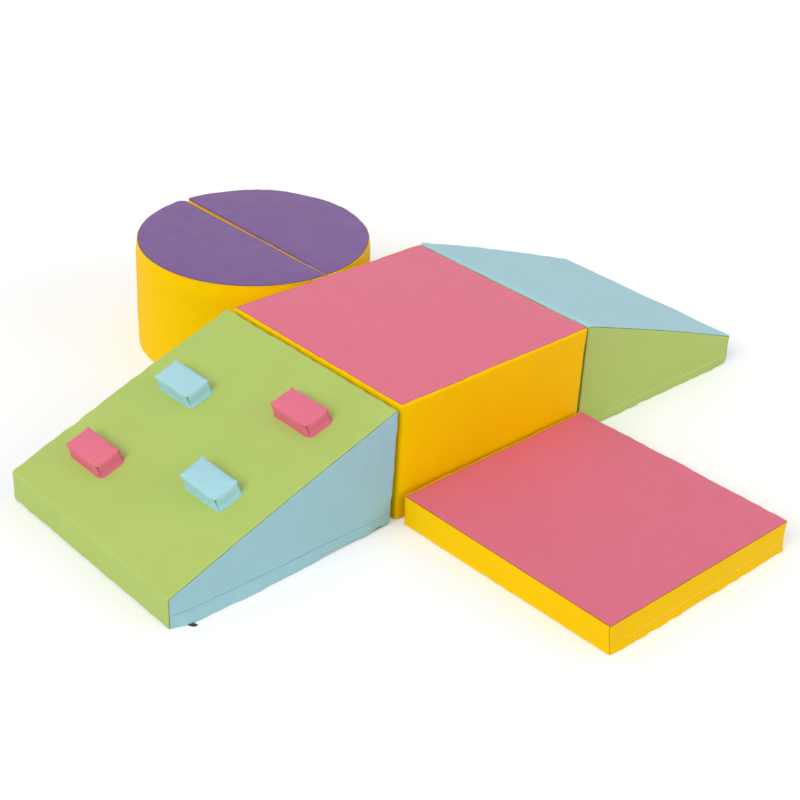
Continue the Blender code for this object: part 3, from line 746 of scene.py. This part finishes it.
def fit_zip(skin, body, slot, panel_piece, place, turn, face_length):
    """Opens the side panel over the zip, and adds the flap and its stitches."""
    site = skin.matrix @ Matrix.Translation(place) @ Matrix.Rotation(turn, 4, "Z")
    half = face_length / 2 - zip_end_inset
    height = stitch_heights.get(body, usual_stitch_height)
    read = surface_reader(open_slot(panel_piece.data, site, half, height), site)
    flap(body, slot, site, half, height, read)
    stitches(body, slot, site, half + stitch_run_out, height, read)


# Foam

def foam(body, node, skin):
    """Cut foam inside a cover: the core's form, a little slack, with its rebate for the zip."""
    shape = bmesh.new()
    shape.from_mesh(frame["nodes"][node].data)
    bmesh.ops.remove_doubles(shape, verts=shape.verts, dist=1e-5)
    shape.normal_update()
    slack = [(vert, vert.normal * foam_slack) for vert in shape.verts]
    to_module, turn = skin.matrix.inverted(), skin.matrix.to_3x3()
    for vert, step in slack:
        vert.co -= step
        place = to_module @ vert.co
        drawn, lean = skin.drawn(place.x, place.y, 0), skin.lean(*place)
        vert.co += turn @ Vector((drawn[0] + lean[0], drawn[1] + lean[1], 0))
    mesh = bpy.data.meshes.new(node.replace("core", "filling").replace("foam", "filling"))
    shape.to_mesh(mesh)
    shape.free()
    mesh.shade_smooth()
    mesh.set_sharp_from_angle(angle=foam_edge_angle)
    made = add(mesh, "foam", body, node)


# Modules

def box_outline(length, width, radius, bulge, seam_corner):
    corners = [(x * length / 2, y * width / 2, radius) for x, y in ((-1, -1), (1, -1), (1, 1), (-1, 1))]
    seams = [0.5 if k == seam_corner else None for k in range(4)]
    return Outline(polygon_arcs(corners, seams), [(0, bulge)] * 4)


def dress_box(skin, body, top, side, place, turn, face_length):
    """Covers a block, mat or half-round."""
    panel("_top", face_panel(skin, 1), top, body)
    panel("_base", face_panel(skin, -1), top, body)
    side_piece = panel("_side", band_panel(skin, skin.outline.seams[0]), side, body)
    fit_zip(skin, body, side, side_piece, place, turn, face_length)
    foam(body, body + "_core", skin)


def soft_uprights(x, y, z):
    """Draws in the block's upright edges, which foam and cloth round off below the crisp top."""
    near = block_length / 2 - np.abs(x) + block_width / 2 - np.abs(y)
    fade = smooth((block_height - z) / corner_fade)
    draw = corner_draw * np.clip(1 - near / corner_reach, 0, 1) ** 2 * fade
    return -np.sign(x) * draw, -np.sign(y) * draw


def block_lean(x, y, z):
    """Leans the block's rear corners: the left one out, the right one forward."""
    raised = np.clip(z / block_height, 0, 1) * np.clip(0.5 + y / block_width, 0, 1)
    right = np.clip(0.5 + x / block_length, 0, 1)
    return -left_lean * raised * (1 - right), -right_lean * raised * right


def block():
    outline = box_outline(block_length, block_width, block_corner, block_bulge, 2)
    skin = Skin(outline, 0, block_height, (0, box_crown), False, (0, 0), 0, 1, box_seams(*block_seams))
    skin.drawn = soft_uprights
    skin.lean = block_lean
    dress_box(skin, "block", "pink_cloth", "yellow_cloth", (0, block_width / 2, 0), math.pi, block_length)


def drawn_left_foot(x, y, z):
    """Draws in the foot of the mat's left side, most at the front."""
    frontness = np.clip(0.5 - y / mat_length, 0, 1)
    draw = mat_draw[0] + (mat_draw[1] - mat_draw[0]) * frontness
    near = smooth(1 - (mat_width / 2 + x) / mat_draw_reach)
    return draw * near * smooth(1 - z / mat_height), 0


def zip_way(body):
    """The direction of a module's zip, as an angle."""
    axis = next(joint["axis"] for joint in frame["joints"] if joint["name"] == body + "_zip_travel")
    return math.atan2(axis[1], axis[0])


def mat():
    turn = zip_way("mat")
    back = Vector((0, -(block_width / 2 + mat_gap)))
    centre = back + Matrix.Rotation(turn, 2) @ Vector((0, -mat_length / 2))
    outline = box_outline(mat_width, mat_length, mat_corner, mat_bulge, 0)
    skin = Skin(outline, 0, mat_height, (0, mat_crown), False, centre, turn, 2, box_seams(*mat_seams))
    skin.loose = loose_foot(mat_flare, mat_length / 2, -1, mat_looseness)
    skin.drawn = drawn_left_foot
    dress_box(skin, "mat", "pink_cloth", "yellow_cloth", (0, -mat_length / 2, 0), 0, mat_width)


def drum_flare(x, y, z):
    """Pushes the round side out below its rim."""
    radius = np.hypot(x, y)
    share = half_flare * smooth((drum_height - z) / half_flare_fade)
    share = share * smooth((radius - flare_start) / flare_span) / np.maximum(radius, flare_start)
    return x * share, y * share


def half_rounds():
    """The left half is askew, so that the cut opens towards the back, where its corner is blunt."""
    distance = block_width / 2 + drum_gap + drum_radius
    lean = zip_way("half_round_left") - math.pi / 2
    near_end = Vector((half_shift - half_gap / 2, distance - drum_radius))
    left = near_end + Matrix.Rotation(lean, 2) @ Vector((0, drum_radius))
    right = (half_shift + half_gap / 2, distance)
    half_round("half_round_right", right, 0, (half_corner, half_corner), right_cut_seam, 3)
    half_round("half_round_left", left, math.pi + lean, (half_corner, half_blunt), left_cut_seam, 4)


def half_round(body, centre, turn, radii, cut_seam, seed):
    """Covers half a drum. The radii round the cut face's ends, at the module's +Y and at its -Y."""
    far, near = radii
    far_reach, near_reach = (math.sqrt((drum_radius - radius) ** 2 - radius**2) for radius in radii)
    far_turn, near_turn = math.atan2(far_reach, far), math.atan2(near_reach, near)
    seam = (0.5, None) if body == "half_round_right" else (None, 0.5)
    arcs = [
        ((0, 0), drum_radius, -near_turn, far_turn, half_bulge, None),
        ((far, far_reach), far, far_turn, math.pi, 0, seam[0]),
        ((near, -near_reach), near, math.pi, 2 * math.pi - near_turn, 0, seam[1]),
    ]
    outline = Outline(arcs, [(0, 0), (0, half_bulge), (0, 0)])
    seams = half_seams(cut_seam)
    skin = Skin(outline, 0, drum_height, (0, box_crown), False, centre, turn, seed, seams)
    skin.lean = drum_flare
    cut_length = 2 * min(far_reach, near_reach)
    dress_box(skin, body, "purple_cloth", "yellow_cloth", (0, 0, 0), -math.pi / 2, cut_length)


def wedge(body, size, toe_radius, heel_setback, centre, turn, top, side, near, seed):
    """Covers a ramp or slide. Its seams cross it at the toe, the crest and the heel."""
    length, width, low = size
    corners = [(heel_setback, 0, heel_radius), (length, 0, toe_radius), (length, low, crease_radius),
               (0, block_height, crest_radius)]
    arcs = polygon_arcs(corners, [0.5, 0.5, None, crest_seam_share])
    outline = Outline(arcs, [(0, 0), (0, 0), (slope_bow, slope_bulge), (0, back_bulge)])
    crowns = (side_crown, side_crown)
    skin = Skin(outline, -width / 2, width / 2, crowns, True, centre, turn, seed, wedge_seams)
    if body == "ramp":
        skin.loose = loose_foot(ramp_flare, width / 2, near, ramp_looseness)
    heel, toe, crest = outline.seams
    panel("_base", band_panel(skin, heel, toe), top, body)
    top_shape = band_panel(skin, toe, crest)
    panel("_top", top_shape, top, body)
    panel("_back", band_panel(skin, crest, heel + outline.length), side, body)
    shape = face_panel(skin, near)
    near_side = add_sheet(body + "_side_near_panel", shape, side, body, body + "_side_cover_near")
    place, site_turn = (length / 2, near * width / 2, 0), math.pi if near > 0 else 0
    fit_zip(skin, body, side, near_side, place, site_turn, length)
    add_sheet(body + "_side_far_panel", face_panel(skin, -near), side, body, body + "_side_cover_far")
    foam(body, body + "_core", skin)
    ends = (arc_point(arcs[3], 2), arc_point(arcs[2], 3))
    return Slope(skin, ends, *top_shape[:2])


def ramp_looseness(x):
    """How loose the foot of the ramp's near side hangs, most of all towards its low end."""
    along = x / ramp_size[0]
    return smooth((1 - along) / ramp_slack_end) * smooth(along / ramp_slack_rise)


def mat_looseness(x):
    """How loose the foot of the mat's front hangs: least at its left corner."""
    return mat_least_slack + (1 - mat_least_slack) * smooth((x / mat_width + 0.5) / mat_slack_rise)


def loose_foot(flare, edge, side, looseness):
    """Pushes out the foot of the side that faces along Y, where the cover hangs loose."""
    size, reach = flare

    def push(x, y, z):
        down = np.clip(1 - z / reach, 0, 1)
        outside = np.clip((y * side - (edge - foot_depth)) / foot_fade, 0, 1)
        return 0, side * size * looseness(x) * down**2 * outside
    return push


def hold_ring(half_x, half_y, radius):
    """Points of a rounded rectangle, their normals and their distances from the nearest corner's middle."""
    points, normals, apart = [], [], []
    for k, (sx, sy) in enumerate(((1, 1), (-1, 1), (-1, -1), (1, -1))):
        centre = np.array([sx * (half_x - radius), sy * (half_y - radius)])
        for share in corner_shares:
            angle = math.pi / 2 * (k + share)
            normal = np.array([math.cos(angle), math.sin(angle)])
            points.append(centre + normal * radius)
            normals.append(normal)
            apart.append((share - 0.5) * math.pi / 2 * max(radius, least_corner))
        flat = (half_x if k % 2 == 0 else half_y) - radius
        along = np.array([-sx, 0.0]) if k % 2 == 0 else np.array([0.0, -sy])
        start = points[-1]
        for share in side_shares:
            points.append(start + along * 2 * flat * share)
            normals.append(normals[-1])
            apart.append(min(share, 1 - share) * 2 * flat + past_corner)
    return np.array(points), np.array(normals), np.array(apart)


corner_shares = np.array([0, 0.14, 0.28, 0.38, 0.44, 0.475, 0.5, 0.525, 0.56, 0.62, 0.72, 0.86, 1.0])
side_shares = np.array([0.06, 0.14, 0.25, 0.38, 0.5, 0.62, 0.75, 0.86, 0.94])

# Half sizes and middle of a hold's hem and of its top, down the slope and towards the near side
hold_hem = np.array([0.0378, 0.0688, 0.0018, 0.0028])
hold_top = np.array([0.0322, 0.0615, 0.0007, -0.0005])

# A hold's cover from its hem up: share of the way to the top's edge, inset past it, height, corner radius,
# depth of the pleat, ear, fullness of the sides
hold_profile = np.array([
    (0, 0, 0.0007, 0.016, 0.2, 0, 0),
    (0, 0.0003, 0.0015, 0.0158, 0.2, 0, 0),
    (0.05, 0.0003, 0.0019, 0.0154, 0.1, 0, 0),
    (0.14, 0, 0.0021, 0.0148, 0.1, 0, 0),
    (0.25, 0, 0.002, 0.014, 0.2, 0, 0),
    (0.34, 0, 0.0016, 0.0132, 0.3, 0, 0),
    (0.43, 0, 0.0024, 0.0124, 0.4, 0, 0),
    (0.52, 0, 0.004, 0.0114, 0.5, 0, 0),
    (0.59, 0, 0.0065, 0.0104, 0.6, 0, 0),
    (0.65, 0, 0.01, 0.0095, 0.7, 0, 0.1),
    (0.7, 0, 0.0142, 0.0087, 0.8, 0, 0.4),
    (0.75, 0, 0.0184, 0.008, 0.9, 0.1, 0.7),
    (0.81, 0, 0.022, 0.0072, 1.2, 0.3, 1),
    (0.88, 0, 0.025, 0.0064, 2, 0.6, 1),
    (0.94, 0, 0.0272, 0.0058, 2.2, 0.9, 1),
    (0.98, 0, 0.029, 0.0054, 1, 1, 0.9),
    (1, 0.0006, 0.0308, 0.0052, 0.1, 1, 0.7),
    (1, 0.002, 0.0323, 0.005, 0, 0.8, 0.4),
    (1, 0.0042, 0.0333, 0.005, 0, 0.4, 0.2),
    (1, 0.0072, 0.0341, 0.0052, 0, 0.1, 0),
    (1, 0.0115, 0.0346, 0.006, 0, 0, 0),
    (1, 0.017, 0.035, 0.006, 0, 0, 0),
    (1, 0.0225, 0.0353, 0.005, 0, 0, 0),
    (1, 0.028, 0.0355, 0.0035, 0, 0, 0),
])
hold_tip, probe = 0.0356, 0.03
least_corner, past_corner = 0.006, 0.005
pleat_depth, pleat_width, pleat_power = 0.0032, 0.0013, 1.3
ear_reach, ear_width, ear_lift_width = 0.0036, 0.004, 0.005
hold_fullness, fullness_reach, uneven_from = 0.0016, 0.03, 0.006
fold_step, fold_flat = 0.0004, 0.0035
# Hem height and the share at its seam, and the pleat depth from which a fold gets painted shade
hem_height, hem_seam, dark_pleat = 0.004, 0.34, 0.15
# Seam distances that set a hold's painted shade: at its hem's seam, their rise away from it, elsewhere, and
# in a fold
hem_shade, hem_rise, pad_shade, fold_shade, fold_drop = 0.0006, 0.006, 0.003, 0.0008, 0.0006


class Slope:
    """Points above the ramp's top panel, from distances down from the crest and across, and a lift."""

    def __init__(self, skin, ends, panel_points, panel_faces):
        high, low = (np.array(end) for end in ends)
        self.down = (low - high) / np.linalg.norm(low - high)
        self.start = np.array([0, block_height])
        self.up = np.array([-self.down[1], self.down[0]])
        self.skin = skin
        self.matrix = np.array(skin.matrix)
        self.tree = BVHTree.FromPolygons(panel_points.tolist(), [list(face) for face in panel_faces])
        self.normal = self.matrix[:3, :3] @ np.array([self.up[0], 0, self.up[1]])

    def __call__(self, along, across, lift):
        flat = self.start + along[:, None] * self.down + self.up * probe
        points = np.stack([flat[:, 0], across, flat[:, 1]], -1) @ self.matrix[:3, :3].T + self.matrix[:3, 3]
        way = Vector(-self.normal)
        hits = np.array([self.tree.ray_cast(Vector(p), way)[0] for p in points])
        return hits + self.normal * lift[:, None]


def hold(slope, name, along, across, slot, seed):
    """A foothold's cover, with pleated corners that end in small ears, sewn down by its flange."""
    waves = Waves(seed, *hold_waves)
    rows, distances = [], []
    for share, inset, height, radius, pleat, ear, fullness in hold_profile:
        half_x, half_y, middle_x, middle_y = hold_hem + (hold_top - hold_hem) * share
        flat, normal, apart = hold_ring(half_x - inset, half_y - inset, radius)
        fold_width = pleat_width * max(1.0, pleat)
        fold = (1 - np.minimum(np.abs(apart) / fold_width, 1)) ** pleat_power
        overlap = fold_step * min(1.0, pleat) * np.sign(apart) * np.exp(-(apart / fold_flat) ** 2)
        out = overlap - pleat * pleat_depth * fold + ear_reach * ear * np.exp(-(apart / ear_width) ** 2)
        out = out + hold_fullness * fullness * np.sin(np.clip(apart / fullness_reach, 0, 1) * math.pi / 2)
        flat = flat + normal * out[:, None] + (middle_x, middle_y)
        lift = height + ear_reach / 2 * ear * np.exp(-(apart / ear_lift_width) ** 2)
        points = slope(along + flat[:, 0], across + flat[:, 1], lift)
        uneven = waves(points) * min(1.0, height / uneven_from)
        rows.append(points + uneven[:, None] * slope.normal)
        # Painted shade through the seam distance: a dark line along the hem's seam and dark folds down the
        # pleats
        plain = hem_shade + abs(share - hem_seam) * hem_rise if height < hem_height else pad_shade
        in_fold = (np.abs(apart) < 0.5 * fold_width) & (pleat > dark_pleat)
        distances.append(np.where(in_fold, fold_shade - fold_drop * min(1.0, pleat), plain))
    tip = slope(np.array([along + hold_top[2]]), np.array([across + hold_top[3]]), np.array([hold_tip]))
    points = np.concatenate([*rows, tip])
    count = len(rows[0])
    faces = quads(len(rows), count, True, False)
    last = (len(rows) - 1) * count
    faces += [[last + k, last + (k + 1) % count, len(points) - 1] for k in range(count)]
    distance = np.concatenate([*distances, [0.01]])
    look = looks.get(("hold", slot), looks[slot])
    made = add_sheet(name + "_pad", (points, faces, distance), slot, "ramp", name + "_cover", look)
    foam("ramp", name + "_foam", slope.skin)


def ramp():
    centre = (-(block_length / 2 + ramp_gap), ramp_shift)
    slope = wedge("ramp", ramp_size, ramp_toe, ramp_heel_setback, centre, zip_way("ramp") + math.pi,
                  "green_cloth", "blue_cloth", 1, 5)
    for seed, (name, (along, across, slot)) in enumerate(hold_places.items()):
        hold(slope, name, along, across, slot, 20 + seed)


def slide():
    centre = (block_length / 2 + slide_gap, slide_shift)
    wedge("slide", slide_size, slide_toe, slide_heel_setback, centre, zip_way("slide"),
          "blue_cloth", "green_cloth", -1, 6)


def dress_kept_nodes():
    """Better materials for the zips' parts, which keep their CAD shape."""
    slots = {"_zip_chain": "zip_tape", "_zip_slider": "zip_metal", "_zip_pull": "zip_metal"}
    for name, node in frame["nodes"].items():
        for ending, slot in slots.items():
            if name.endswith(ending):
                node.data.materials.clear()
                node.data.materials.append(looks[slot])


# Camera, floor and light

camera_place = (-2.40762, -2.49593, 2.09539)
camera_yaw, camera_pitch, camera_roll = 0.69129, 0.53061, 0.01891
focal_pixels, picture_pixels, centre_shift_pixels = 1608.299, 800, 100
sensor_width, farthest = 36, 60


def camera():
    made = new_object("Camera", bpy.data.cameras.new("Camera"))
    level = math.cos(camera_pitch)
    ahead = Vector((math.sin(camera_yaw) * level, math.cos(camera_yaw) * level, -math.sin(camera_pitch)))
    right = Vector((math.cos(camera_yaw), -math.sin(camera_yaw), 0))
    above = right.cross(ahead)
    rolled_right = right * math.cos(camera_roll) + above * math.sin(camera_roll)
    rolled_above = above * math.cos(camera_roll) - right * math.sin(camera_roll)
    made.matrix_world = Matrix.Translation(camera_place) @ Matrix(
        (rolled_right, rolled_above, -ahead)).transposed().to_4x4()
    made.data.sensor_width = sensor_width
    made.data.lens = focal_pixels / picture_pixels * sensor_width
    made.data.shift_x = centre_shift_pixels / picture_pixels
    made.data.clip_end = farthest
    bpy.context.scene.camera = made


world_light = 0.60
suns = ((0.48, (-0.85, -0.10, 0.62)), (0.20, (0.45, -0.80, 0.40)))
sun_spread = math.radians(38)
floor_reach, floor_grey, floor_glow = 14, 0.8, 0.27


def light():
    scene = bpy.context.scene
    scene.view_settings.view_transform = "Standard"
    world = bpy.data.worlds.new("Studio")
    scene.world = world
    world.use_nodes = True
    tree = world.node_tree
    soft = tree.nodes["Background"]
    soft.inputs["Strength"].default_value = world_light
    soft.inputs["Color"].default_value = (1, 1, 1, 1)
    white = add_node(tree, "Background", {"Color": (1, 1, 1, 1)}, {})
    path = add_node(tree, "LightPath", {}, {})
    seen = path.outputs["Is Camera Ray"]
    for ray in ("Is Glossy Ray", "Is Transmission Ray"):
        seen = add_node(tree, "Math", {}, {0: seen, 1: path.outputs[ray]}, "MAXIMUM").outputs[0]
    mix = add_node(tree, "MixShader", {}, {0: seen, 1: soft.outputs[0], 2: white.outputs[0]})
    tree.links.new(mix.outputs[0], tree.nodes["World Output"].inputs["Surface"])
    for strength, heading in suns:
        sun = new_object("Softbox", bpy.data.lights.new("Softbox", "SUN"))
        sun.data.energy = strength * math.pi
        sun.data.angle = sun_spread
        sun.rotation_mode = "QUATERNION"
        sun.rotation_quaternion = Vector(heading).to_track_quat("Z", "Y")


def floor():
    mesh = bpy.data.meshes.new("Floor")
    corners = [(x * floor_reach, y * floor_reach, 0) for x, y in ((-1, -1), (1, -1), (1, 1), (-1, 1))]
    mesh.from_pydata(corners, [], [(0, 1, 2, 3)])
    made = new_object("Floor", mesh)
    look, tree, shader = node_material("floor_look")
    tree.nodes.remove(shader)
    pale = add_node(tree, "BsdfDiffuse", {"Color": (floor_grey, floor_grey, floor_grey, 1)}, {})
    seen = add_node(tree, "LightPath", {}, {}).outputs["Is Camera Ray"]
    share = add_node(tree, "Math", {1: floor_glow}, {0: seen}, "MULTIPLY")
    glow = add_node(tree, "Emission", {}, {"Strength": share.outputs[0]})
    both = add_node(tree, "AddShader", {}, {0: pale.outputs[0], 1: glow.outputs[0]})
    tree.links.new(both.outputs[0], tree.nodes["Material Output"].inputs["Surface"])
    mesh.materials.append(look)


camera()
light()
floor()
block()
ramp()
slide()
mat()
half_rounds()
dress_kept_nodes()
finish_sheets()
